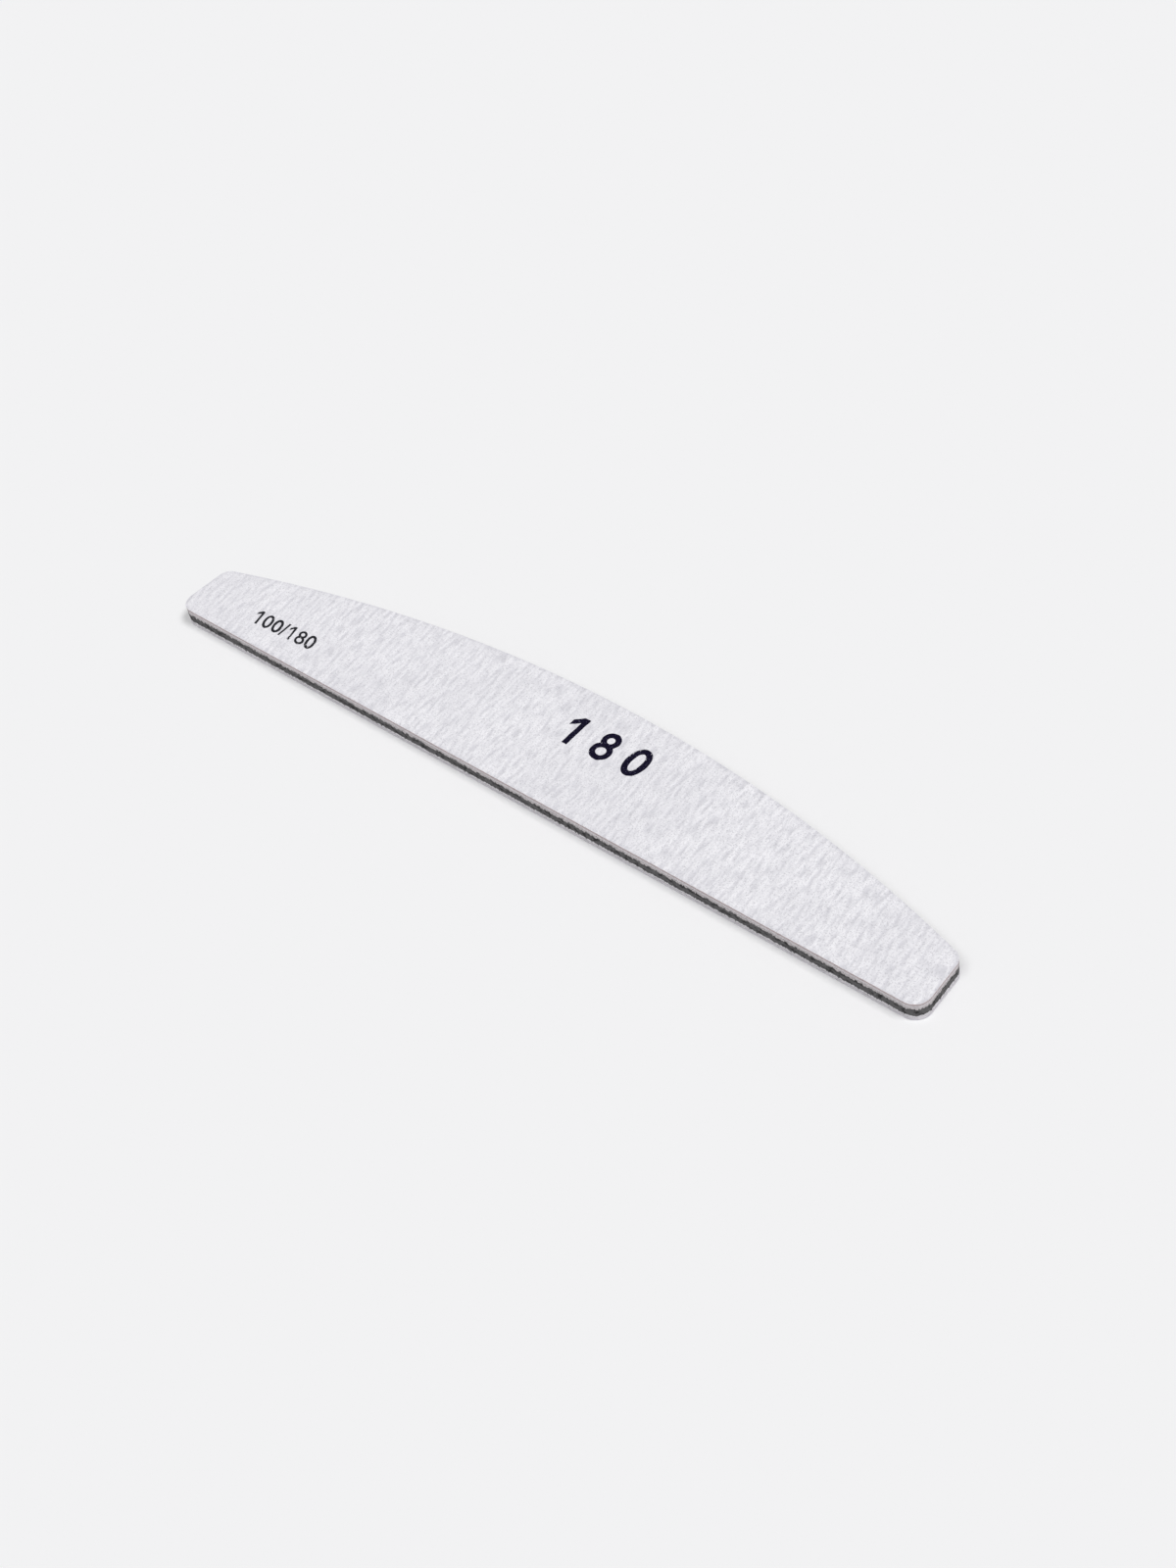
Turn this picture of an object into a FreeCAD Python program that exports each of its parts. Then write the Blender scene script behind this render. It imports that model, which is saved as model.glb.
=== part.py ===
"""Half-moon cushioned emery board: a laminate of eleven layers, all cut by one die line.

Millimetres. The origin is the middle of the face that lies on the table: +X runs along the board,
+Y from the straight edge to the curved edge, and +Z from the coarse face to the fine face.
"""

import FreeCAD, Part
import os

import Sketcher

# Driving dimensions of the die line, of the layers and of the pressed edges.
DIMENSIONS = {
    "board_length": (178.0, "the straight edge, between the sharp corners of the die line"),
    "board_width": (26.2, "straight edge to the crown of the curved edge"),
    "end_width": (12.5, "straight edge to the tip, at each end"),
    "end_taper": (0.64, "how far each tip stands back from the end of the straight edge"),
    "heel_radius": (3.1, "rounded corner where an end meets the straight edge"),
    "tip_radius": (2.5, "rounded corner where an end meets the curved edge"),
    "core_thickness": (1.78, "stiff plate in the middle"),
    "cushion_thickness": (0.60, "foam on each side of the core"),
    "film_thickness": (0.06, "pressure-sensitive adhesive film"),
    "paper_thickness": (0.25, "backing paper of the abrasive"),
    "coarse_thickness": (0.26, "coarse grain and resin on the lower face"),
    "fine_thickness": (0.22, "fine grain and resin on the upper face"),
    "edge_roll": (0.10, "round-over that the die presses into the rim of a working face"),
}

# The layers from the table upwards: the name of the piece and the size that is its thickness.
LAYERS = [
    ("coarse_abrasive_coat", "coarse_thickness"),
    ("lower_backing_paper", "paper_thickness"),
    ("lower_paper_adhesive", "film_thickness"),
    ("lower_cushion", "cushion_thickness"),
    ("lower_core_adhesive", "film_thickness"),
    ("core_plate", "core_thickness"),
    ("upper_core_adhesive", "film_thickness"),
    ("upper_cushion", "cushion_thickness"),
    ("upper_paper_adhesive", "film_thickness"),
    ("upper_backing_paper", "paper_thickness"),
    ("fine_abrasive_coat", "fine_thickness"),
]

# The working faces: the lowest face of one coat and the highest face of the other.
WORKING_FACES = {"coarse_abrasive_coat": min, "fine_abrasive_coat": max}

# The sketcher counts the places on an element upwards in this order, and its own axes downwards.
PLACES = ("whole element", "start", "end")
AXES = ("whole sketch", "horizontal", "vertical")
START = PLACES.index("start")
END = PLACES.index("end")
VERTICAL_AXIS = -AXES.index("vertical")
ORIGIN = (-AXES.index("horizontal"), START)

# How far a measured place may be from an exact one.
NEAR = 1e-4


def dimension(name):
    """The value of a driving dimension."""
    return DIMENSIONS[name][0]


def make_sheet(doc):
    """Write the driving dimensions into a sheet, one named cell each, with what they measure."""
    sheet = doc.addObject("Spreadsheet::Sheet", "Dims")
    for row, (name, (value, meaning)) in enumerate(DIMENSIONS.items(), start=1):
        sheet.set(f"A{row}", str(value))
        sheet.setAlias(f"A{row}", name)
        sheet.set(f"B{row}", meaning)
    doc.recompute()
    return sheet


def origin_plane(body, role):
    """One of the body's own origin planes."""
    return next(plane for plane in body.Origin.OriginFeatures if plane.Role == role)


def die_corners():
    """The die line's two sharp corners on the right: at the straight edge and at the tip."""
    heel = FreeCAD.Vector(dimension("board_length") / 2, -dimension("board_width") / 2, 0)
    tip = heel + FreeCAD.Vector(-dimension("end_taper"), dimension("end_width"), 0)
    return heel, tip


def draw_die_line(body):
    """Sketch the die line with sharp corners: a straight edge, two tapered ends and one long arc."""
    sketch = body.newObject("Sketcher::SketchObject", body.Label + "_die_line")
    sketch.AttachmentSupport = [(origin_plane(body, "XY_Plane"), "")]
    sketch.MapMode = "FlatFace"

    heel, tip = die_corners()
    left_heel = FreeCAD.Vector(-heel.x, heel.y, 0)
    left_tip = FreeCAD.Vector(-tip.x, tip.y, 0)
    crown = FreeCAD.Vector(0, heel.y + dimension("board_width"), 0)

    straight = sketch.addGeometry(Part.LineSegment(left_heel, heel))
    right_end = sketch.addGeometry(Part.LineSegment(heel, tip))
    curved = sketch.addGeometry(Part.Arc(tip, crown, left_tip))
    left_end = sketch.addGeometry(Part.LineSegment(left_tip, left_heel))

    ring = [straight, right_end, curved, left_end]
    for edge, following in zip(ring, ring[1:] + ring[:1]):
        sketch.addConstraint(Sketcher.Constraint("Coincident", edge, END, following, START))
    for first, second in (((straight, START), (straight, END)), ((curved, START), (curved, END))):
        sketch.addConstraint(Sketcher.Constraint("Symmetric", *first, *second, VERTICAL_AXIS))

    def measure(name, kind, places, value, formula):
        index = sketch.addConstraint(Sketcher.Constraint(kind, *places, value))
        sketch.renameConstraint(index, name)
        sketch.setExpression("Constraints." + name, formula)

    rise = "(Dims.board_width - Dims.end_width)"
    half_chord = "(Dims.board_length / 2 - Dims.end_taper)"
    radius = sketch.Geometry[curved].Radius
    measure("straight_length", "DistanceX", (straight, START, straight, END), 2 * heel.x,
            "Dims.board_length")
    measure("tip_to_tip", "DistanceX", (left_end, START, right_end, END), 2 * tip.x,
            "2 * " + half_chord)
    measure("end_height", "DistanceY", (right_end, START, right_end, END), tip.y - heel.y,
            "Dims.end_width")
    measure("edge_to_origin", "DistanceY", (straight, END, *ORIGIN), -heel.y,
            "Dims.board_width / 2")
    measure("curve_radius", "Radius", (curved,), radius,
            f"({half_chord}^2 + {rise}^2) / (2 * {rise})")
    return sketch


def upright_edges(shape, corner):
    """Names of the two upright edges at a sharp corner of the die line and at its mirror image."""
    names = []
    for number, edge in enumerate(shape.Edges, start=1):
        middle = edge.CenterOfMass
        if abs(abs(middle.x) - corner.x) + abs(middle.y - corner.y) < NEAR:
            names.append(f"Edge{number}")
    return names


def outer_face(shape, pick):
    """Name of the lowest face, where pick is min, or of the highest one, where pick is max."""
    heights = [face.CenterOfMass.z for face in shape.Faces]
    return f"Face{heights.index(pick(heights)) + 1}"


def round_over(body, base, names, title, formula):
    """Round the named edges, or all the edges of a named face, of the body's last feature."""
    fillet = body.newObject("PartDesign::Fillet", f"{body.Label}_{title}")
    fillet.Base = (base, names)
    fillet.setExpression("Radius", formula)
    body.Document.recompute()
    return fillet


def cut_layer(doc, name, thickness, below):
    """One layer of the laminate: the die line, as thick as the layer, on top of those below it."""
    body = doc.addObject("PartDesign::Body", name)
    body.Label = name
    pad = body.newObject("PartDesign::Pad", name + "_pad")
    pad.Profile = draw_die_line(body)
    pad.setExpression("Length", "Dims." + thickness)
    doc.recompute()

    heel, tip = die_corners()
    heels = round_over(body, pad, upright_edges(pad.Shape, heel), "heels", "Dims.heel_radius")
    tips = round_over(body, heels, upright_edges(heels.Shape, tip), "tips", "Dims.tip_radius")
    if name in WORKING_FACES:
        rim = [outer_face(tips.Shape, WORKING_FACES[name])]
        at_most_half_the_coat = f"min(Dims.edge_roll; Dims.{thickness} / 2)"
        round_over(body, tips, rim, "rim", at_most_half_the_coat)
    if below:
        height = " + ".join("Dims." + size for size in below)
        body.setExpression("Placement.Base.z", height)
    doc.recompute()
    return body


def main():
    doc = FreeCAD.newDocument("emery_board")
    make_sheet(doc)
    bodies = []
    below = []
    for name, thickness in LAYERS:
        bodies.append(cut_layer(doc, name, thickness, below))
        below = below + [thickness]
    doc.recompute()

    for made in doc.Objects:
        if {"Invalid", "Error"} & set(made.State):
            raise RuntimeError(f"{made.Label} did not compute: {made.State}")
    for body in bodies:
        if body.Shape.isNull() or not body.Shape.isValid():
            raise RuntimeError(f"{body.Label} is not a valid solid")

    os.makedirs("parts", exist_ok=True)
    for body in bodies:
        body.Shape.exportStep(f"parts/{body.Label}.step")
        box = body.Shape.BoundBox
        print(f"{body.Label}: z {box.ZMin:.2f} to {box.ZMax:.2f}, {body.Shape.Volume:.1f} mm3")


main()
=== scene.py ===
# %% [markdown]
# # A half-moon emery board, dressed around its CAD frame
#
# The real board is a laminate: two sheets of abrasive paper, two thin foam cushions and one dark stiff
# plate, glued into a stack and then stamped out with a single knife shaped like a half-moon. The CAD
# frame already has each layer at its true size. This lesson gives the layers their surfaces: crepe-like
# ripples and grain on the two working faces, a ragged cut edge, and worn ink.

# %% Load the frame
import math

import bpy
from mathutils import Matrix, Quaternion, Vector


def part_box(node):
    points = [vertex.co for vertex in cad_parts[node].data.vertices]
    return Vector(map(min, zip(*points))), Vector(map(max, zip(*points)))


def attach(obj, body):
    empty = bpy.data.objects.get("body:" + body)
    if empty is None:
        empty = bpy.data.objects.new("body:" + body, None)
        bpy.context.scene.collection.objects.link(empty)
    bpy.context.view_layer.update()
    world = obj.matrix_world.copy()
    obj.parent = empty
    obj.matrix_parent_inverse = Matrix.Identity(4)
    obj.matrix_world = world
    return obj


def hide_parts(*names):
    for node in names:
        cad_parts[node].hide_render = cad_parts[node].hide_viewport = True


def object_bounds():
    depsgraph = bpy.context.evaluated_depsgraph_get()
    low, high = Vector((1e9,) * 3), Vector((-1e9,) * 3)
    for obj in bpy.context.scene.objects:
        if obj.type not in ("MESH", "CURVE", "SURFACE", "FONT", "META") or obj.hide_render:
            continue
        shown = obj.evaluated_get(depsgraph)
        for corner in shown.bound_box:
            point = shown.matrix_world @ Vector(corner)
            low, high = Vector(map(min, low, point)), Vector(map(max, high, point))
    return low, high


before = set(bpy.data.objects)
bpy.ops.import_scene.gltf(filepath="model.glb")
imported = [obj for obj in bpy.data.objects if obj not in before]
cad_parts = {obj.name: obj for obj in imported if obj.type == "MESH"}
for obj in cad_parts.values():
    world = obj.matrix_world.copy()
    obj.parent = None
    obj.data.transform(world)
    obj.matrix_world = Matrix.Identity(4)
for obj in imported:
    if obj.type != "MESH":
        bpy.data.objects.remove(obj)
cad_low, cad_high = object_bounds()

MM = 0.001
print("layers:", ", ".join(sorted(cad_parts)))
print("board in mm:", [round(side / MM, 2) for side in cad_high - cad_low])

# %% [markdown]
# ## The viewpoint
#
# The photograph looks down at the board from its straight side, turned well round to the right, with the
# camera itself tipped over a little. A camera could be aimed by eye, but measured angles repeat exactly.
# The camera is first aimed level at a point on the upper face, and then rolled about its own line of
# sight. The focal length is written for the picture's long side, which is how Blender fits the sensor.

# %% Set up the camera
AZIMUTH = math.radians(49.61)
ELEVATION = math.radians(45.74)
ROLL = math.radians(-12.0)
DISTANCE = 387.16 * MM
AIM = Vector((12.79 * MM, -5.05 * MM, cad_high.z))
FOCAL_PIXELS = 2249.9
PICTURE_HEIGHT = 1600

towards_camera = Vector((
    math.sin(AZIMUTH) * math.cos(ELEVATION),
    -math.cos(AZIMUTH) * math.cos(ELEVATION),
    math.sin(ELEVATION),
))
level_aim = (-towards_camera).to_track_quat("-Z", "Y")
rolled_aim = level_aim @ Quaternion((0, 0, 1), ROLL)

bpy.ops.object.select_all(action="DESELECT")
bpy.ops.object.camera_add(
    location=AIM + towards_camera * DISTANCE,
    rotation=rolled_aim.to_euler(),
)
camera = bpy.context.object
camera.data.lens = camera.data.sensor_width * FOCAL_PIXELS / PICTURE_HEIGHT
camera.data.clip_start = DISTANCE / 100
camera.data.clip_end = DISTANCE * 100
bpy.context.scene.camera = camera
print(f"lens {camera.data.lens:.1f} mm, {DISTANCE / MM:.0f} mm from the board")

# %% [markdown]
# ## Floor and light
#
# The photograph was taken on a pale sweep in soft light from several sides: the cut edge near the camera
# is only half lit, and the shadow that lines it is thin and faint. The light here is a plain white sky
# and two steep sun lamps with wide discs. The key lamp, from the right, models the ripples and leaves the
# thin shadow. The fill lamp, from the front, lights the cut edge. The sky gives the least, because a
# strong sky would darken the floor in a wide band round the board. Suns light the floor evenly, where
# area lamps would leave bright patches. Each source is set by the share of the floor's light that it
# gives, so that the shares add up to one. The camera itself sees a paler sky than the one that lights the
# board, so no grey horizon cuts through a low view. The Standard view keeps colours as they are chosen,
# without a film curve.

# %% Set up the floor and the light
FLOOR_SIDE = 6.0
FLOOR_COLOUR = (242, 242, 243)
SKY_SHARE = 0.24
SEEN_SKY = 0.86

# Name, where the light comes from, how wide its disc is, and its share of the floor's light.
LAMPS = [
    ("key_lamp", Vector((0.50, 0.15, 1.00)), math.radians(22), 0.40),
    ("fill_lamp", Vector((0.10, -0.42, 1.00)), math.radians(40), 0.36),
]


def linear(red, green, blue):
    """A colour picked on screen, from 0 to 255, as the linear colour that shaders use."""
    def straighten(value):
        share = value / 255
        return share / 12.92 if share <= 0.04045 else ((share + 0.055) / 1.055) ** 2.4
    return (straighten(red), straighten(green), straighten(blue), 1.0)


bpy.ops.object.select_all(action="DESELECT")
bpy.ops.mesh.primitive_plane_add(size=FLOOR_SIDE)
floor = bpy.context.object
floor.name = "pale_floor"

floor_paint = bpy.data.materials.new("pale_floor_paint")
floor_paint.use_nodes = True
floor_shader = floor_paint.node_tree.nodes["Principled BSDF"]
floor_shader.inputs["Base Color"].default_value = linear(*FLOOR_COLOUR)
floor_shader.inputs["Roughness"].default_value = 1.0
floor_shader.inputs["Specular IOR Level"].default_value = 0.0
floor.data.materials.append(floor_paint)

for name, comes_from, disc, share in LAMPS:
    bpy.ops.object.light_add(type="SUN", rotation=comes_from.to_track_quat("Z", "Y").to_euler())
    lamp = bpy.context.object
    lamp.name = name
    lamp.data.angle = disc
    lamp.data.energy = share * math.pi / comes_from.normalized().z
    print(f"{name}: strength {lamp.data.energy:.2f}, disc {math.degrees(disc):.0f} degrees wide")

sky = bpy.data.worlds.new("white_sky")
sky.use_nodes = True
backdrop = sky.node_tree.nodes["Background"]
backdrop.inputs["Color"].default_value = (1.0, 1.0, 1.0, 1.0)
seen = sky.node_tree.nodes.new("ShaderNodeLightPath")
brightness = sky.node_tree.nodes.new("ShaderNodeMapRange")
brightness.inputs["To Min"].default_value = SKY_SHARE
brightness.inputs["To Max"].default_value = SEEN_SKY
sky.node_tree.links.new(seen.outputs["Is Camera Ray"], brightness.inputs["Value"])
sky.node_tree.links.new(brightness.outputs["Result"], backdrop.inputs["Strength"])
bpy.context.scene.world = sky
bpy.context.scene.view_settings.view_transform = "Standard"
print(f"sky: strength {SKY_SHARE}")

# %% [markdown]
# ## The die line
#
# One knife cuts every layer, so one outline is drawn and copied. A half-moon is part of a large disc:
# the disc is added as a filled circle, and three straight cuts take away everything below the straight
# edge and beyond the two ends. Then the four sharp corners are rounded with a vertex bevel. A bevel needs
# room along both edges of a corner, so the short steps of the arc beside each tip are dissolved first.
# Last, the long straight stretches are split into short steps, which the ragged cut will need.

# %% Cut the half-moon from a disc
EDGE_LENGTH = 178.0 * MM
END_WIDTH = 12.5 * MM
END_TAPER = 0.64 * MM
HEEL_RADIUS = 3.1 * MM
TIP_RADIUS = 2.5 * MM
STEP = 0.25 * MM
LONGEST_STEP = 1.5 * STEP
CORNER_SEGMENTS = 18
NEAR = 0.01 * MM
CUT_NEAR = 0.0001 * MM

straight_y = cad_low.y
board_width = cad_high.y - cad_low.y
half_chord = EDGE_LENGTH / 2 - END_TAPER
rise = board_width - END_WIDTH
disc_radius = (half_chord ** 2 + rise ** 2) / (2 * rise)
heel = Vector((EDGE_LENGTH / 2, straight_y, 0))
tip = heel + Vector((-END_TAPER, END_WIDTH, 0))
end_outwards = Vector((END_WIDTH, END_TAPER, 0)).normalized()


def both_ends(place):
    """A place at the right-hand end, and its mirror image at the left-hand end."""
    return [place, Vector((-place.x, place.y, place.z))]


bpy.ops.object.select_all(action="DESELECT")
bpy.ops.mesh.primitive_circle_add(
    vertices=round(2 * math.pi * disc_radius / STEP),
    radius=disc_radius,
    fill_type="NGON",
    location=(0, cad_high.y - disc_radius, 0),
)
die_face = bpy.context.object
die_face.name = "die_face"
bpy.ops.object.transform_apply(location=True, rotation=False, scale=False)

bpy.ops.object.mode_set(mode="EDIT")
cuts = [(heel, Vector((0, -1, 0)))]
cuts += list(zip(both_ends(heel), both_ends(end_outwards)))
for place, outwards in cuts:
    bpy.ops.mesh.select_all(action="SELECT")
    bpy.ops.mesh.bisect(plane_co=place, plane_no=outwards, clear_outer=True, threshold=CUT_NEAR)
bpy.ops.object.mode_set(mode="OBJECT")
print(f"disc radius {disc_radius / MM:.1f} mm, {len(die_face.data.vertices)} points on the sharp outline")

# %% Round the four corners
def select_points(piece, wanted):
    """In edit mode, select the points whose place is wanted, and say how many there are."""
    bpy.ops.object.mode_set(mode="EDIT")
    bpy.ops.mesh.select_mode(type="VERT")
    bpy.ops.mesh.select_all(action="DESELECT")
    bpy.ops.object.mode_set(mode="OBJECT")
    count = 0
    for point in piece.data.vertices:
        point.select = wanted(point.co)
        count += point.select
    bpy.ops.object.mode_set(mode="EDIT")
    return count


def close_to(places, reach):
    """A test for points that lie within reach of one of the places."""
    return lambda point: any((point - place).length < reach for place in places)


arc_slope = math.asin(half_chord / disc_radius)
end_from_tip = (heel - tip).normalized()
arc_from_tip = Vector((-math.cos(arc_slope), math.sin(arc_slope), 0))
heel_angle = Vector((-1, 0, 0)).angle(tip - heel)
tip_angle = end_from_tip.angle(arc_from_tip)
heel_reach = HEEL_RADIUS / math.tan(heel_angle / 2)
tip_reach = TIP_RADIUS / math.tan(tip_angle / 2)

at_tips = close_to(both_ends(tip), NEAR)
beside_tips = close_to(both_ends(tip), tip_reach + STEP)
select_points(die_face, lambda point: beside_tips(point) and not at_tips(point))
bpy.ops.mesh.dissolve_verts()

for corner, reach in ((heel, heel_reach), (tip, tip_reach)):
    rounded = select_points(die_face, close_to(both_ends(corner), NEAR))
    bpy.ops.mesh.bevel(
        affect="VERTICES", offset=reach, segments=CORNER_SEGMENTS, profile=0.5, clamp_overlap=False
    )
    print(f"{rounded} corners rounded, {reach / MM:.2f} mm along their edges")
bpy.ops.object.mode_set(mode="OBJECT")

# %% Split the long straight stretches
def select_long_edges(piece, limit):
    """In edit mode, select the edges that are longer than the limit, and say how many there are."""
    bpy.ops.object.mode_set(mode="EDIT")
    bpy.ops.mesh.select_mode(type="EDGE")
    bpy.ops.mesh.select_all(action="DESELECT")
    bpy.ops.object.mode_set(mode="OBJECT")
    points = piece.data.vertices
    count = 0
    for edge in piece.data.edges:
        first, second = edge.vertices
        edge.select = (points[first].co - points[second].co).length > limit
        count += edge.select
    bpy.ops.object.mode_set(mode="EDIT")
    return count


while select_long_edges(die_face, LONGEST_STEP):
    bpy.ops.mesh.subdivide(number_cuts=1)
bpy.ops.object.mode_set(mode="OBJECT")
print(f"die line: {len(die_face.data.vertices)} points, {die_face.dimensions.x / MM:.2f} mm long")

# %% [markdown]
# ## Finishes: a few small tools
#
# Every finish here is procedural and reads Object coordinates, so a pattern has a real size in
# millimetres and stays on the board from any side. A few helpers make the node work short. Some give a
# pattern: noise with spots of a given size, and the height on the board. The others work on patterns: a
# difference, a change of range, a blend of two colours and a bump. Noise can be stretched, which is how
# cut edges get streaks that run along the board.

# %% Helpers that give a pattern
def new_finish(name, roughness, gloss):
    """A material with one shader; roughness and gloss are the same all over, so they sit on the shader."""
    finish = bpy.data.materials.new(name)
    finish.use_nodes = True
    shader = finish.node_tree.nodes["Principled BSDF"]
    shader.inputs["Roughness"].default_value = roughness
    shader.inputs["Specular IOR Level"].default_value = gloss
    return finish, finish.node_tree, shader


def even(size):
    """The size of spots that are as long as they are wide and high."""
    return (size, size, size)


def spots(tree, size, detail=2.0, turn=0.0):
    """Noise whose spots measure size, in metres along X, Y and Z, turned about Z."""
    place = tree.nodes.new("ShaderNodeTexCoord")
    scale = tree.nodes.new("ShaderNodeMapping")
    scale.vector_type = "TEXTURE"
    scale.inputs["Rotation"].default_value = (0, 0, turn)
    scale.inputs["Scale"].default_value = size
    noise = tree.nodes.new("ShaderNodeTexNoise")
    noise.inputs["Scale"].default_value = 1.0
    noise.inputs["Detail"].default_value = detail
    tree.links.new(place.outputs["Object"], scale.inputs["Vector"])
    tree.links.new(scale.outputs["Vector"], noise.inputs["Vector"])
    return noise.outputs["Fac"]


def board_height(tree):
    """How high a point of the surface lies above the table."""
    place = tree.nodes.new("ShaderNodeTexCoord")
    split = tree.nodes.new("ShaderNodeSeparateXYZ")
    tree.links.new(place.outputs["Object"], split.inputs["Vector"])
    return split.outputs["Z"]


print("helpers ready: a new finish, spots and the height on the board")

# %% Helpers that work on patterns
def difference(tree, first, second):
    """The first value minus the second: each is a number or the result of another node."""
    step = tree.nodes.new("ShaderNodeMath")
    step.operation = "SUBTRACT"
    for value, socket in zip((first, second), step.inputs):
        if isinstance(value, float):
            socket.default_value = value
        else:
            tree.links.new(value, socket)
    return step.outputs["Value"]


def stretch(tree, value, low, high, to_low=0.0, to_high=1.0):
    """Map a value that runs from low to high onto another range, and hold it there."""
    mapped = tree.nodes.new("ShaderNodeMapRange")
    mapped.interpolation_type = "SMOOTHSTEP"
    mapped.inputs["From Min"].default_value = low
    mapped.inputs["From Max"].default_value = high
    mapped.inputs["To Min"].default_value = to_low
    mapped.inputs["To Max"].default_value = to_high
    tree.links.new(value, mapped.inputs["Value"])
    return mapped.outputs["Result"]


def blend(tree, share, first, second):
    """A colour between two: each is a colour of its own or the result of another blend."""
    mix = tree.nodes.new("ShaderNodeMix")
    mix.data_type = "RGBA"
    tree.links.new(share, mix.inputs["Factor"])
    for colour, socket in ((first, mix.inputs["A"]), (second, mix.inputs["B"])):
        if isinstance(colour, tuple):
            socket.default_value = colour
        else:
            tree.links.new(colour, socket)
    return mix.outputs["Result"]


def emboss(tree, shader, height, depth):
    """Bump the surface by a height pattern, depth metres from its darkest to its lightest."""
    bump = tree.nodes.new("ShaderNodeBump")
    bump.inputs["Distance"].default_value = depth
    tree.links.new(height, bump.inputs["Height"])
    tree.links.new(bump.outputs["Normal"], shader.inputs["Normal"])


print("helpers ready: difference, stretch, blend and emboss")

# %% [markdown]
# ## The grit finishes
#
# Seen close, the pale face isn't one grey. The dry lubricant that is dusted over the grain lies in soft
# clouds, the dips of the ripples are painted darker than the crests as painted shade, and single grains
# show as fine dark specks. The scales are layered from large to small. The dips are found by their height,
# so the painted shade and the relief always agree, and the pressed rim gets a little of it too. The
# coarse face has the same build with larger grains.

# %% Mix the grit finishes
RIPPLE_TURN = math.radians(8)
CREST_DEPTH = 0.03 * MM
DIP_DEPTH = 0.14 * MM
CLOUD_SIZE = 9 * MM
STREAK_SIZE = (0.26 * MM, 0.6 * MM, 4 * MM)


def grit_finish(name, pale, shade, speck, grain_size, grain_depth, crest, dip):
    """Dusted grain: clouds, painted shade in the dips, fine streaks between two greys, then specks of
    single grains.
    """
    finish, tree, shader = new_finish(name, roughness=0.9, gloss=0.2)
    clouds = spots(tree, even(CLOUD_SIZE))
    streaks = spots(tree, STREAK_SIZE, detail=3.0, turn=RIPPLE_TURN)
    grains = spots(tree, even(grain_size), detail=1.0)
    cloudy = blend(tree, stretch(tree, clouds, 0.35, 0.65, to_high=0.25), pale, shade)
    # Painted shade: the lower a point lies below the crests, the more of the darker grey it takes.
    dips_in_painted_shade = blend(tree, stretch(tree, board_height(tree), crest, dip), cloudy, shade)
    streaky = blend(tree, stretch(tree, streaks, 0.42, 0.68, to_high=0.55), dips_in_painted_shade, shade)
    speckled = blend(tree, stretch(tree, grains, 0.52, 0.72, to_high=0.6), streaky, speck)
    tree.links.new(speckled, shader.inputs["Base Color"])
    emboss(tree, shader, grains, grain_depth)
    return finish


fine_grit = grit_finish(
    "fine_face", linear(244, 243, 247), linear(216, 215, 221), linear(188, 187, 193),
    grain_size=0.28 * MM, grain_depth=0.04 * MM,
    crest=cad_high.z - CREST_DEPTH, dip=cad_high.z - DIP_DEPTH,
)
coarse_grit = grit_finish(
    "coarse_face", linear(236, 235, 239), linear(202, 201, 207), linear(168, 166, 174),
    grain_size=0.42 * MM, grain_depth=0.10 * MM,
    crest=cad_low.z + CREST_DEPTH, dip=cad_low.z + DIP_DEPTH,
)
print("made", fine_grit.name, "and", coarse_grit.name)

# %% [markdown]
# ## The cut-edge finishes
#
# The stamped edge is where the layers show. Above the plate, resin and paper cut to a mauve-brown line
# and foam to a pale line full of tiny cells, with painted shade in each cell. The plate is charcoal, with
# black blotches where it chipped. The layers below the plate are nearly white: they are painted paler
# than the same layers above it, partly their own pale tone and partly painted light from the white floor
# just below them. The knife comes from above, and it drags a little of each layer down over the next one:
# foam over the plate, and the plate's dark dust over the foam below it. So the two borders of the dark
# stripe are ragged. Streaks that are long along the board and very thin in height make an edge look
# layered, whichever way the outline turns.

# %% Mix the finish of each cut edge
FIBRE_SIZE = (1.1 * MM, 1.1 * MM, 0.05 * MM)
CELL_SIZE = 0.14 * MM
BLOTCH_SIZE = (1.2 * MM, 1.2 * MM, 0.7 * MM)
CHIP_SIZE = 0.3 * MM
DRAG_SIZE = (0.5 * MM, 0.5 * MM, 6 * MM)
DRAG_BLUR = 0.04 * MM
DRAG_COVER = 0.9
LEAST_DRAG = 0.12 * MM
MOST_DRAG_ON_FOAM = 0.52 * MM
MOST_DRAG_ON_PLATE = 0.55 * MM


def layered_edge(name, light, dark, roughness=0.9, gloss=0.2):
    """Cut paper or resin: thin streaks along the layer, between a light and a dark tone."""
    finish, tree, shader = new_finish(name, roughness, gloss)
    fibres = spots(tree, FIBRE_SIZE, detail=3.0)
    fibre_share = stretch(tree, fibres, 0.35, 0.65)
    tree.links.new(blend(tree, fibre_share, light, dark), shader.inputs["Base Color"])
    emboss(tree, shader, fibres, depth=0.02 * MM)
    return finish


def dragged(tree, top, most):
    """Where the knife dragged the layer above over this one: from its top down to a ragged line."""
    drag = spots(tree, DRAG_SIZE, detail=3.0)
    reach = stretch(tree, drag, 0.38, 0.66, LEAST_DRAG, most)
    below_top = difference(tree, top, board_height(tree))
    below_reach = difference(tree, below_top, reach)
    return stretch(tree, below_reach, DRAG_BLUR, -DRAG_BLUR, to_high=DRAG_COVER)


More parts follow.
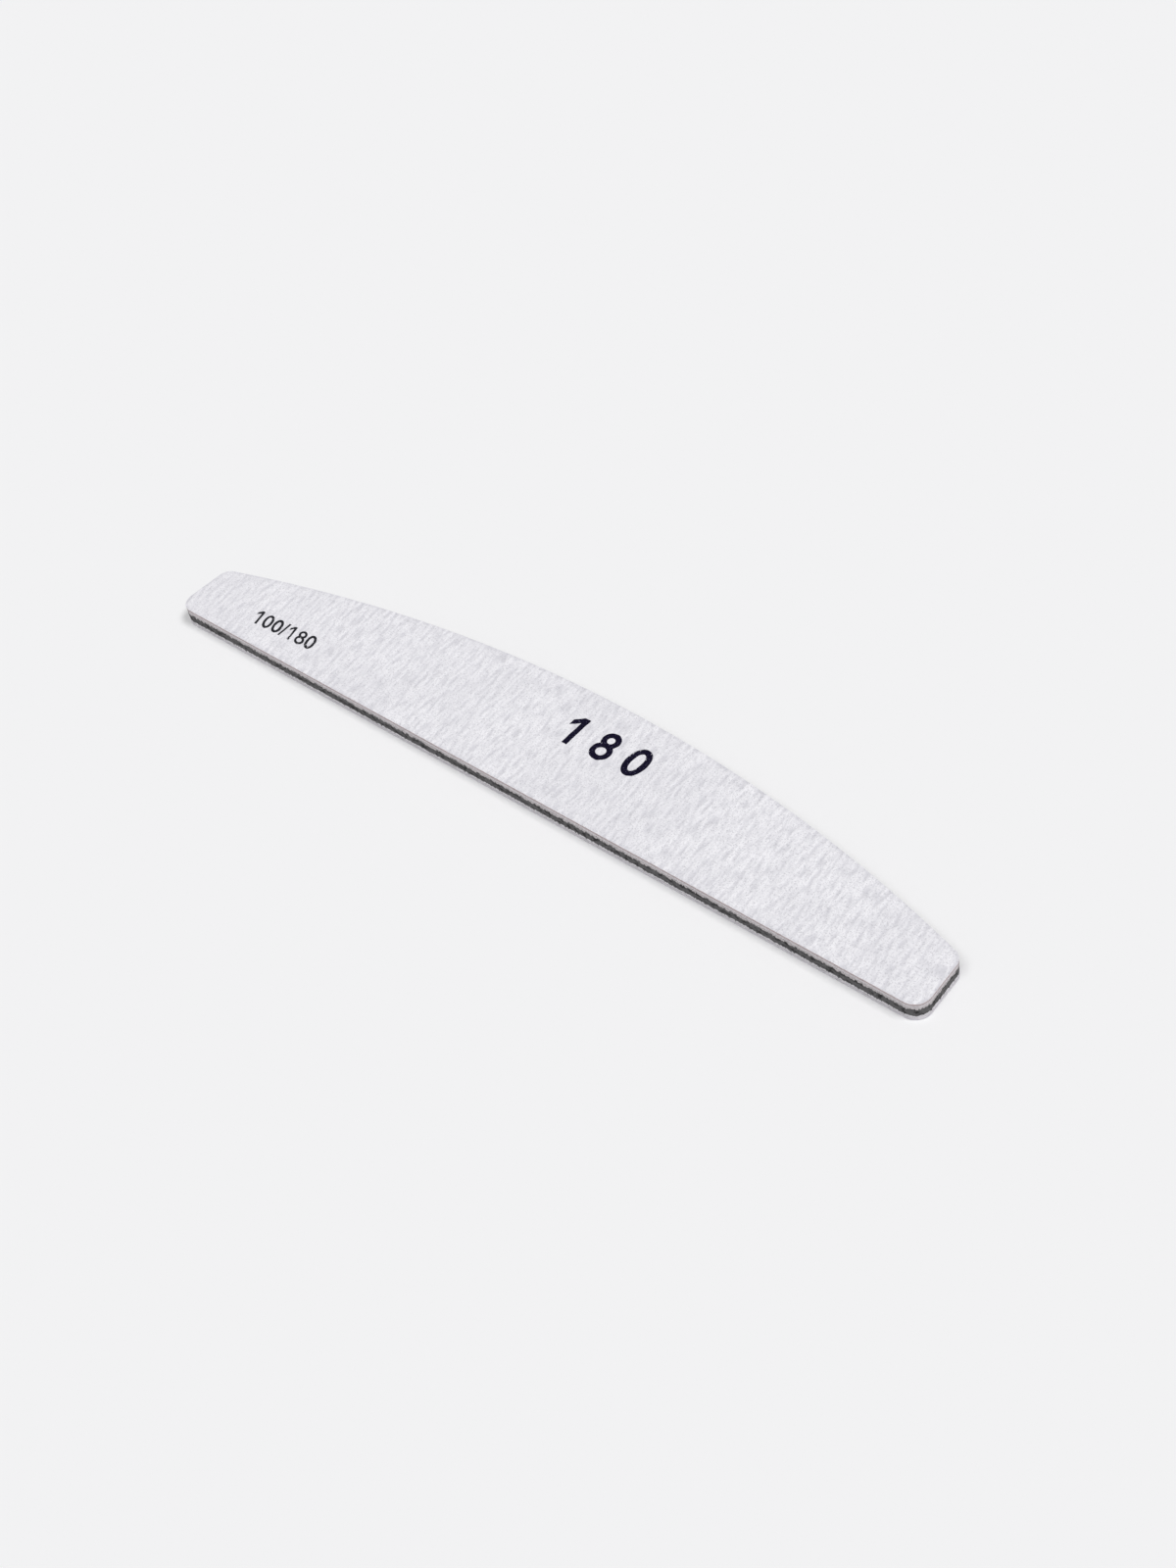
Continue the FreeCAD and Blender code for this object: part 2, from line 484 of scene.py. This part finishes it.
def foam_edge(name, wall, hollow, dust=None, top=None):
    """Cut foam: round cells with painted shade in their middles, and dust from above where a dust colour
    is given.
    """
    finish, tree, shader = new_finish(name, roughness=1.0, gloss=0.1)
    place = tree.nodes.new("ShaderNodeTexCoord")
    cells = tree.nodes.new("ShaderNodeTexVoronoi")
    cells.inputs["Scale"].default_value = 1 / CELL_SIZE
    tree.links.new(place.outputs["Object"], cells.inputs["Vector"])
    # Painted shade: the middle of each open cell takes the darker hollow colour.
    inside = stretch(tree, cells.outputs["Distance"], 0.15, 0.6, to_low=1.0, to_high=0.0)
    colour = blend(tree, inside, wall, hollow)
    if dust:
        colour = blend(tree, dragged(tree, top, MOST_DRAG_ON_FOAM), colour, dust)
    tree.links.new(colour, shader.inputs["Base Color"])
    emboss(tree, shader, cells.outputs["Distance"], depth=0.06 * MM)
    return finish


def plate_edge(name, charcoal, blotch, chip, dust, top):
    """Cut plate: charcoal with black blotches and grey chips, and foam dragged down from its top."""
    finish, tree, shader = new_finish(name, roughness=0.75, gloss=0.3)
    blotches = spots(tree, BLOTCH_SIZE, detail=4.0)
    chips = spots(tree, even(CHIP_SIZE), detail=2.0)
    blotchy = blend(tree, stretch(tree, blotches, 0.46, 0.60), charcoal, blotch)
    chipped = blend(tree, stretch(tree, chips, 0.62, 0.72, to_high=0.7), blotchy, chip)
    dusty = blend(tree, dragged(tree, top, MOST_DRAG_ON_PLATE), chipped, dust)
    tree.links.new(dusty, shader.inputs["Base Color"])
    emboss(tree, shader, blotches, depth=0.06 * MM)
    return finish


core_low, core_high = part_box("core_plate")
cut_finishes = {
    "upper_coat": layered_edge("upper_coat_edge", linear(217, 206, 208), linear(184, 169, 172)),
    "upper_paper": layered_edge("upper_paper_edge", linear(204, 190, 190), linear(170, 153, 153)),
    "upper_foam": foam_edge("upper_foam_edge", linear(228, 223, 226), linear(186, 180, 184)),
    "glue": layered_edge(
        "glue_edge", linear(182, 176, 178), linear(150, 144, 147), roughness=0.4, gloss=0.5,
    ),
    "core": plate_edge(
        "core_edge", linear(92, 91, 92), linear(36, 35, 36), linear(134, 132, 132),
        dust=linear(204, 198, 200), top=core_high.z,
    ),
    "dark_glue": layered_edge(
        "dark_glue_edge", linear(86, 85, 86), linear(52, 51, 52), roughness=0.6, gloss=0.4,
    ),
    # Painted light: the foam, paper and coat below the plate are paler than their partners above it,
    # partly as light from the floor below.
    "lower_foam": foam_edge(
        "lower_foam_edge", linear(234, 232, 236), linear(198, 195, 201),
        dust=linear(84, 83, 84), top=core_low.z,
    ),
    "lower_paper": layered_edge("lower_paper_edge", linear(230, 227, 232), linear(204, 200, 207)),
    "lower_coat": layered_edge("lower_coat_edge", linear(231, 229, 234), linear(200, 197, 205)),
}
print("made", ", ".join(finish.name for finish in cut_finishes.values()))

# %% [markdown]
# ## The inner layers
#
# Each inner layer shows only its cut edge, a wall a fraction of a millimetre to nearly two millimetres
# tall. The CAD solid has a perfect wall, and a perfect wall is what gives a model away. Here a copy of
# the die face is extruded upwards row by row. At every row the outline is drawn in a little, shaken at
# random from a fixed seed, and pressed flat again. Foam springs back behind the knife, so its wall is
# hollow, and glue films lie deeper than the layers that they join.

# %% Helpers that raise a ragged wall
CALMER = 3


def select_only(piece):
    """Select one piece and make it the active one."""
    bpy.ops.object.select_all(action="DESELECT")
    piece.select_set(True)
    bpy.context.view_layer.objects.active = piece


def copy_of(original, name):
    """A copy with its own mesh, selected by itself and active."""
    select_only(original)
    bpy.ops.object.duplicate(linked=False)
    copy = bpy.context.object
    copy.name = name
    copy.data.name = name
    return copy


def face_outwards():
    """Turn every face of the mesh in edit mode outwards, and leave edit mode."""
    bpy.ops.mesh.select_all(action="SELECT")
    bpy.ops.mesh.normals_make_consistent(inside=False)
    bpy.ops.object.mode_set(mode="OBJECT")


def draw_in(inset, before=0.0):
    """Scale what is selected, so that its rim goes from one inset behind the die line to another."""
    half_length = cad_high.x
    half_width = cad_high.y
    along = (half_length - inset) / (half_length - before)
    across = (half_width - inset) / (half_width - before)
    bpy.ops.transform.resize(value=(along, across, 1), center_override=(0, 0, 0))


def shake(amount, seed, height):
    """Move the selected points at random, and press them flat at their height again."""
    bpy.ops.transform.vertex_random(offset=amount, seed=seed)
    bpy.ops.transform.resize(value=(1, 1, 0), center_override=(0, 0, height))


def raise_wall(rows, ragged, seed):
    """Extrude the active die face through rows of height and inset: each row follows the one below it,
    and is shaken less than the first."""
    bpy.ops.object.mode_set(mode="EDIT")
    bpy.ops.mesh.select_mode(type="FACE")
    bpy.ops.mesh.select_all(action="SELECT")
    height_before, inset_before = 0.0, 0.0
    for number, (height, inset) in enumerate(rows):
        climb = {"value": (0, 0, height - height_before)}
        if number == 0:
            bpy.ops.transform.translate(**climb)
            shake(ragged, seed, height)
        else:
            bpy.ops.mesh.extrude_region_move(TRANSFORM_OT_translate=climb)
            shake(ragged / CALMER, seed + number, height)
        draw_in(inset, inset_before)
        height_before, inset_before = height, inset
    face_outwards()


print("helpers ready: copies, ragged walls and faces that look outwards")

# %% Build the inner layers
SMOOTH_UP_TO = math.radians(40)
SEEDS_PER_LAYER = 10

# Wall shapes: shares of the layer's height, each with how far the wall lies behind the die line.
PAPER_WALL = [(0.0, 0.04), (0.5, 0.04), (1.0, 0.04)]
GLUE_WALL = [(0.0, 0.08), (1.0, 0.08)]
FOAM_WALL = [(0.0, 0.10), (0.25, 0.13), (0.5, 0.14), (0.75, 0.13), (1.0, 0.10)]
CORE_WALL = [(0.0, 0.09), (0.08, 0.06), (0.35, 0.06), (0.65, 0.06), (0.92, 0.06), (1.0, 0.09)]

# Piece, CAD node, slot, finish, wall and raggedness in millimetres, from the table upwards.
INNER_LAYERS = [
    ("lower_paper", "lower_backing_paper", "backing_paper", "lower_paper", PAPER_WALL, 0.02),
    ("lower_paper_glue", "lower_paper_adhesive", "adhesive", "glue", GLUE_WALL, 0.02),
    ("lower_foam", "lower_cushion", "cushion_foam", "lower_foam", FOAM_WALL, 0.05),
    ("lower_core_glue", "lower_core_adhesive", "adhesive", "dark_glue", GLUE_WALL, 0.02),
    ("core_board", "core_plate", "core", "core", CORE_WALL, 0.03),
    ("upper_core_glue", "upper_core_adhesive", "adhesive", "glue", GLUE_WALL, 0.02),
    ("upper_foam", "upper_cushion", "cushion_foam", "upper_foam", FOAM_WALL, 0.05),
    ("upper_paper_glue", "upper_paper_adhesive", "adhesive", "glue", GLUE_WALL, 0.02),
    ("upper_paper", "upper_backing_paper", "backing_paper", "upper_paper", PAPER_WALL, 0.02),
]


def smooth(piece):
    """Shade a piece smooth, apart from its sharp edges."""
    select_only(piece)
    bpy.ops.object.shade_smooth_by_angle(angle=SMOOTH_UP_TO)


def hand_over(piece, node):
    """Let a piece stand for its CAD node, and let it move with the board."""
    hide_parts(node)
    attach(piece, "root")


for order, (name, node, slot, finish, wall, ragged) in enumerate(INNER_LAYERS):
    node_low, node_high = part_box(node)
    thickness = node_high.z - node_low.z
    layer = copy_of(die_face, name)
    rows = [(node_low.z + share * thickness, inset * MM) for share, inset in wall]
    raise_wall(rows, ragged * MM, seed=SEEDS_PER_LAYER * order)
    layer.data.materials.append(cut_finishes[finish])
    smooth(layer)
    hand_over(layer, node)
    print(f"{name}: {thickness / MM:.2f} mm thick, {len(layer.data.polygons)} faces")

# %% [markdown]
# ## The two abrasive coats
#
# On the real board the abrasive is made as a wide rippled web, and the knife comes last. The model is
# made in the same order. A fine grid is the web. Displacement textures raise its ripples, with an empty,
# scaled and turned, that stretches the texture across the board. The highest crests are pressed flat, and
# a weight that grows towards the die line presses the rim down, as the knife does. Then the web gets a
# flat back and is stamped out with a Boolean. Relief only ever goes down from the CAD face, so the board
# stays inside its own size.

# %% Ripple the web
WEB_MARGIN = 1.0 * MM
WEB_STEP_ALONG = 0.16 * MM
WEB_STEP_ACROSS = 0.40 * MM
RIPPLE_SIZE = (0.74 * MM, 3.1 * MM, 1.0)
RIPPLE_DEPTH = 0.16 * MM
RIPPLE_CONTRAST = 1.7
RIPPLE_LEVEL = 0.9
CREST_HEIGHT = -0.01 * MM
RIM_WIDTH = 0.9 * MM
RIM_DEPTH = 0.04 * MM
RIM_GROUP = "rim"


def apply_modifier(piece, modifier):
    """Apply one modifier of a piece."""
    select_only(piece)
    bpy.ops.object.modifier_apply(modifier=modifier.name)


def plain_web(name):
    """A flat grid as large as the board and a margin, at height 0."""
    bpy.ops.object.select_all(action="DESELECT")
    length = cad_high.x - cad_low.x + 2 * WEB_MARGIN
    width = board_width + 2 * WEB_MARGIN
    bpy.ops.mesh.primitive_grid_add(
        x_subdivisions=round(length / WEB_STEP_ALONG),
        y_subdivisions=round(width / WEB_STEP_ACROSS),
        size=1.0,
    )
    web = bpy.context.object
    web.name = name
    web.scale = (length, width, 1.0)
    bpy.ops.object.transform_apply(location=False, rotation=False, scale=True)
    return web


def raise_ripples(web, offset):
    """Displace a web by a stretched texture, moved along the board, and press its crests flat."""
    bpy.ops.object.empty_add(location=(offset, 0, 0), rotation=(0, 0, RIPPLE_TURN))
    stretcher = bpy.context.object
    stretcher.scale = RIPPLE_SIZE
    crepe = bpy.data.textures.new(web.name + "_crepe", "CLOUDS")
    crepe.noise_scale = 1.0
    crepe.noise_depth = 3
    crepe.contrast = RIPPLE_CONTRAST
    ripples = web.modifiers.new("ripples", "DISPLACE")
    ripples.texture = crepe
    ripples.texture_coords = "OBJECT"
    ripples.texture_coords_object = stretcher
    ripples.direction = "Z"
    ripples.mid_level = RIPPLE_LEVEL
    ripples.strength = RIPPLE_DEPTH
    apply_modifier(web, ripples)
    bpy.data.objects.remove(stretcher)
    select_points(web, lambda point: point.z > CREST_HEIGHT)
    bpy.ops.transform.resize(value=(1, 1, 0), center_override=(0, 0, CREST_HEIGHT))
    bpy.ops.object.mode_set(mode="OBJECT")


def press_rim(web):
    """Press a web down along the die line, by a weight that fades out over the rim's width."""
    rim = web.vertex_groups.new(name=RIM_GROUP)
    rim.add(range(len(web.data.vertices)), 1.0, "REPLACE")
    nearness = web.modifiers.new("nearness", "VERTEX_WEIGHT_PROXIMITY")
    nearness.vertex_group = RIM_GROUP
    nearness.target = die_face
    nearness.proximity_mode = "GEOMETRY"
    nearness.proximity_geometry = {"EDGE"}
    nearness.min_dist = RIM_WIDTH
    nearness.max_dist = 0.0
    nearness.falloff_type = "SMOOTH"
    apply_modifier(web, nearness)
    press = web.modifiers.new("press", "DISPLACE")
    press.vertex_group = RIM_GROUP
    press.direction = "Z"
    press.mid_level = 0.0
    press.strength = -RIM_DEPTH
    apply_modifier(web, press)
    web.vertex_groups.clear()


def rippled_web(name, ripple_offset):
    """A web with ripples and a pressed rim."""
    web = plain_web(name)
    raise_ripples(web, ripple_offset)
    press_rim(web)
    return web


fine_web = rippled_web("fine_web", ripple_offset=0.0)
heights = [point.co.z / MM for point in fine_web.data.vertices]
print(f"ripples from {min(heights):.3f} to {max(heights):.3f} mm, {len(heights)} points")

# %% Stamp out the fine coat
KNIFE_REACH = 1.0 * MM
KNIFE_INSET = 0.03 * MM
KNIFE_RAGGED = 0.02 * MM
STEEP = 0.5
FINE_SEED = 200


def close_back(web, depth):
    """Turn an open web into a slab: pull its border down to a flat back and fill that."""
    select_only(web)
    bpy.ops.object.mode_set(mode="EDIT")
    bpy.ops.mesh.select_mode(type="EDGE")
    bpy.ops.mesh.select_all(action="SELECT")
    bpy.ops.mesh.region_to_loop()
    bpy.ops.mesh.extrude_edges_move(TRANSFORM_OT_translate={"value": (0, 0, -depth)})
    bpy.ops.transform.resize(value=(1, 1, 0), center_override=(0, 0, -depth))
    bpy.ops.mesh.edge_face_add()
    face_outwards()


def keep_inside(piece, cutter, overlapping=False):
    """Cut a piece down to what lies inside a closed cutter, whose parts may overlap, and remove that."""
    cut = piece.modifiers.new("cut", "BOOLEAN")
    cut.operation = "INTERSECT"
    cut.solver = "EXACT"
    cut.use_self = overlapping
    cut.object = cutter
    apply_modifier(piece, cut)
    bpy.data.objects.remove(cutter)


def stamp_coat(web, name, node, finish, edge, seed, up):
    """A coat from its web: closed, stamped by a ragged knife, turned to its side and put in its place."""
    node_low, node_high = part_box(node)
    coat = copy_of(web, name)
    close_back(coat, node_high.z - node_low.z)
    knife = copy_of(die_face, "knife")
    raise_wall([(-KNIFE_REACH, KNIFE_INSET), (KNIFE_REACH, KNIFE_INSET)], KNIFE_RAGGED, seed)
    keep_inside(coat, knife)

    bpy.ops.object.mode_set(mode="EDIT")
    bpy.ops.mesh.select_all(action="SELECT")
    bpy.ops.transform.resize(value=(1, 1, up), center_override=(0, 0, 0))
    bpy.ops.transform.translate(value=(0, 0, node_high.z if up > 0 else node_low.z))
    face_outwards()

    coat.data.materials.append(finish)
    coat.data.materials.append(cut_finishes[edge])
    for face in coat.data.polygons:
        face.material_index = int(abs(face.normal.z) < STEEP)
    smooth(coat)
    return coat


fine_coat = stamp_coat(
    fine_web, "fine_coat", "fine_abrasive_coat", fine_grit, "upper_coat", FINE_SEED, up=1
)
hand_over(fine_coat, "fine_abrasive_coat")
print(f"fine coat: {len(fine_coat.data.polygons)} faces")

# %% Stamp out the coarse coat
COARSE_SEED = 300
COARSE_OFFSET = 40 * MM

coarse_web = rippled_web("coarse_web", COARSE_OFFSET)
coarse_coat = stamp_coat(
    coarse_web, "coarse_coat", "coarse_abrasive_coat", coarse_grit, "lower_coat", COARSE_SEED, up=-1
)
hand_over(coarse_coat, "coarse_abrasive_coat")
bpy.data.objects.remove(coarse_web)
print(f"coarse coat: {len(coarse_coat.data.polygons)} faces")

# %% [markdown]
# ## The printed numbers
#
# A board of this kind carries its grit as plain numbers. Printing ink is a film that follows every
# ripple, so flat lettering laid on top would float over the dips and sink into the crests. The film is
# taken from the web itself instead: a patch of it is lifted by a few thousandths of a millimetre, given
# a thickness, and cut to the shape of the figures with the same Boolean as the coats.
#
# The nought and the slash come from Blender's own font. The one and the eight are modelled, because they
# can then have the plain shapes of the print: a stem with a short flag, and two oval rings that share a
# stroke. A row of figures is slanted by turning it, scaling it along what is then a diagonal, and turning
# it back.

# %% Mix the inks
RUB_SIZE = 0.32 * MM
RUB_RANGE = 0.2


def ink_finish(name, full, worn, worn_from):
    """Printing ink that has rubbed thin over the grain, from some level of a fine noise upwards."""
    finish, tree, shader = new_finish(name, roughness=0.8, gloss=0.1)
    rubs = spots(tree, even(RUB_SIZE), detail=3.0)
    thin = stretch(tree, rubs, worn_from, worn_from + RUB_RANGE)
    tree.links.new(blend(tree, thin, full, worn), shader.inputs["Base Color"])
    emboss(tree, shader, rubs, depth=0.02 * MM)
    return finish


navy_ink = ink_finish("navy_ink", linear(14, 9, 34), linear(104, 100, 130), worn_from=0.58)
grey_ink = ink_finish("grey_ink", linear(40, 40, 45), linear(110, 109, 116), worn_from=0.68)
print("made", navy_ink.name, "and", grey_ink.name)

# %% Model single figures
# Sizes and places of the figures are shares of their height.
FIGURE_SPAN = {"0": (0.06, 0.71), "/": (0.00, 0.39)}
FIGURE_NEAR = 0.0001
HALF_WAY_UP = 0.5
ONE_STEM = 0.52
ONE_FLAG = (0.25, 0.20)
ONE_FLAG_STROKES = 1.2
EIGHT_MIDDLE = 0.39
EIGHT_WAIST = 0.53
EIGHT_WIDTHS = (0.64, 0.56)
RING_POINTS = 48


def figure_one(stroke):
    """The figure one: a stem, with a flag extruded from its upper left edge."""
    bpy.ops.mesh.primitive_plane_add(size=1.0, location=(ONE_STEM - stroke / 2, HALF_WAY_UP, 0))
    one = bpy.context.object
    one.scale = (stroke, 1.0, 1.0)
    bpy.ops.object.transform_apply(location=True, rotation=False, scale=True)
    bpy.ops.object.mode_set(mode="EDIT")
    bpy.ops.mesh.select_all(action="SELECT")
    flag_foot = 1 - stroke * ONE_FLAG_STROKES
    bpy.ops.mesh.bisect(plane_co=(0, flag_foot, 0), plane_no=(0, 1, 0), threshold=FIGURE_NEAR)
    stem_left = ONE_STEM - stroke
    select_points(one, lambda point: point.x < stem_left + FIGURE_NEAR and point.y > HALF_WAY_UP)
    reach, drop = ONE_FLAG
    bpy.ops.mesh.extrude_edges_move(TRANSFORM_OT_translate={"value": (-reach, -drop, 0)})
    bpy.ops.object.mode_set(mode="OBJECT")
    return one


def ring(bottom, top, width, stroke):
    """A flat oval ring of the eight: a circle between two heights, its edge extruded and drawn inwards."""
    middle = (EIGHT_MIDDLE, (bottom + top) / 2, 0)
    bpy.ops.object.select_all(action="DESELECT")
    bpy.ops.mesh.primitive_circle_add(vertices=RING_POINTS, radius=0.5, location=middle)
    oval = bpy.context.object
    oval.scale = (width, top - bottom, 1.0)
    bpy.ops.object.transform_apply(location=True, rotation=False, scale=True)
    bpy.ops.object.mode_set(mode="EDIT")
    bpy.ops.mesh.select_mode(type="EDGE")
    bpy.ops.mesh.select_all(action="SELECT")
    bpy.ops.mesh.extrude_edges_move()
    inwards = (1 - 2 * stroke / width, 1 - 2 * stroke / (top - bottom), 1)
    bpy.ops.transform.resize(value=inwards, center_override=middle)
    bpy.ops.object.mode_set(mode="OBJECT")
    return oval


def figure_eight(stroke):
    """The figure eight: a wide ring and a narrower one, which share one stroke at the waist."""
    lower_width, upper_width = EIGHT_WIDTHS
    below = ring(0.0, EIGHT_WAIST + stroke / 2, lower_width, stroke)
    above = ring(EIGHT_WAIST - stroke / 2, 1.0, upper_width, stroke)
    below.select_set(True)
    bpy.context.view_layer.objects.active = above
    bpy.ops.object.join()
    return bpy.context.object


def font_figure(character, fattening):
    """A nought or a slash from Blender's own font, fattened, and fitted to its span."""
    bpy.ops.object.text_add()
    figure = bpy.context.object
    figure.data.body = character
    figure.data.offset = fattening
    bpy.ops.object.convert(target="MESH")
    figure = bpy.context.object
    left, right = FIGURE_SPAN[character]
    bpy.ops.object.origin_set(type="ORIGIN_GEOMETRY", center="BOUNDS")
    figure.scale = ((right - left) / figure.dimensions.x, 1 / figure.dimensions.y, 1.0)
    figure.location = ((left + right) / 2, HALF_WAY_UP, 0)
    bpy.ops.object.transform_apply(location=True, rotation=False, scale=True)
    return figure


print("figures ready: one, eight, nought and slash")

# %% Set the figures in rows
FIGURE_PITCH = 0.777
SLASH_PITCH = 0.388
DIAGONAL = math.radians(45)


def row_of(text, spacing, stroke, fattening):
    """Figures side by side, a height of 1 tall, joined into one flat piece."""
    row, pen = [], 0.0
    for character in text:
        bpy.ops.object.select_all(action="DESELECT")
        if character == "1":
            figure = figure_one(stroke)
        elif character == "8":
            figure = figure_eight(stroke)
        else:
            figure = font_figure(character, fattening)
        figure.location.x = pen
        pen += (SLASH_PITCH if character == "/" else FIGURE_PITCH) * spacing
        row.append(figure)
    bpy.ops.object.select_all(action="DESELECT")
    for figure in row:
        figure.select_set(True)
    bpy.context.view_layer.objects.active = row[0]
    bpy.ops.object.join()
    return bpy.context.object


def figures(text, height, spacing, place, turn, slant, stroke, fattening):
    """A row of plain figures as a closed block, slanted, turned and centred on a place of the board."""
    block = row_of(text, spacing, stroke, fattening)
    bpy.ops.object.transform_apply(location=True, rotation=False, scale=False)
    bpy.ops.object.origin_set(type="ORIGIN_GEOMETRY", center="BOUNDS")

    block.rotation_euler = (0, 0, DIAGONAL)
    bpy.ops.object.transform_apply(location=False, rotation=True, scale=False)
    block.scale = (height * (1 - slant), height * (1 + slant), 1.0)
    bpy.ops.object.transform_apply(location=False, rotation=False, scale=True)
    block.rotation_euler = (0, 0, turn - DIAGONAL)
    block.location = (place.x, place.y, -KNIFE_REACH)
    bpy.ops.object.transform_apply(location=True, rotation=True, scale=False)

    bpy.ops.object.mode_set(mode="EDIT")
    bpy.ops.mesh.select_mode(type="FACE")
    bpy.ops.mesh.select_all(action="SELECT")
    bpy.ops.mesh.extrude_region_move(TRANSFORM_OT_translate={"value": (0, 0, 2 * KNIFE_REACH)})
    face_outwards()
    return block


grit_pair = figures(
    "100/180", height=3.55 * MM, spacing=0.93, place=Vector((-64.6 * MM, -6.55 * MM, 0)),
    turn=math.radians(8.0), slant=-0.105, stroke=0.155, fattening=0.018,
)
face_grit = figures(
    "180", height=7.0 * MM, spacing=1.35, place=Vector((9.5 * MM, 3.7 * MM, 0)),
    turn=0.0, slant=0.0, stroke=0.17, fattening=0.020,
)
print(f"figures {grit_pair.dimensions.x / MM:.1f} and {face_grit.dimensions.x / MM:.1f} mm wide")

# %% Print the figures
INK_ABOVE = 0.004 * MM
INK_BELOW = 0.004 * MM
PATCH_MARGIN = Vector((0.8 * MM, 0.8 * MM, 0))

# Where a bounding box lists its lowest and its highest corner.
LOWEST, HIGHEST = 0, 6


def print_figures(name, finish, block):
    """An ink film on the fine face, in the shape of a block of figures."""
    low = Vector(block.bound_box[LOWEST]) - PATCH_MARGIN
    high = Vector(block.bound_box[HIGHEST]) + PATCH_MARGIN

    def outside(point):
        return not (low.x < point.x < high.x and low.y < point.y < high.y)

    film = copy_of(fine_web, name)
    select_points(film, outside)
    bpy.ops.mesh.delete(type="VERT")
    bpy.ops.mesh.select_mode(type="FACE")
    bpy.ops.mesh.select_all(action="SELECT")
    bpy.ops.transform.translate(value=(0, 0, -INK_BELOW))
    lift = {"value": (0, 0, INK_BELOW + INK_ABOVE)}
    bpy.ops.mesh.extrude_region_move(TRANSFORM_OT_translate=lift)
    face_outwards()
    keep_inside(film, block, overlapping=True)

    bpy.ops.object.mode_set(mode="EDIT")
    bpy.ops.mesh.select_all(action="SELECT")
    bpy.ops.transform.translate(value=(0, 0, cad_high.z))
    bpy.ops.object.mode_set(mode="OBJECT")
    film.data.materials.append(finish)
    smooth(film)
    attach(film, "root")
    print(f"{name}: {len(film.data.polygons)} faces")


print_figures("grit_numbers", grey_ink, grit_pair)
print_figures("face_number", navy_ink, face_grit)

# %% [markdown]
# ## Clear up
#
# The web and the die face were tools, so they go. Dressing may roughen the board, but it doesn't change
# its size.

# %% Clear up
bpy.data.objects.remove(fine_web)
bpy.data.objects.remove(die_face)
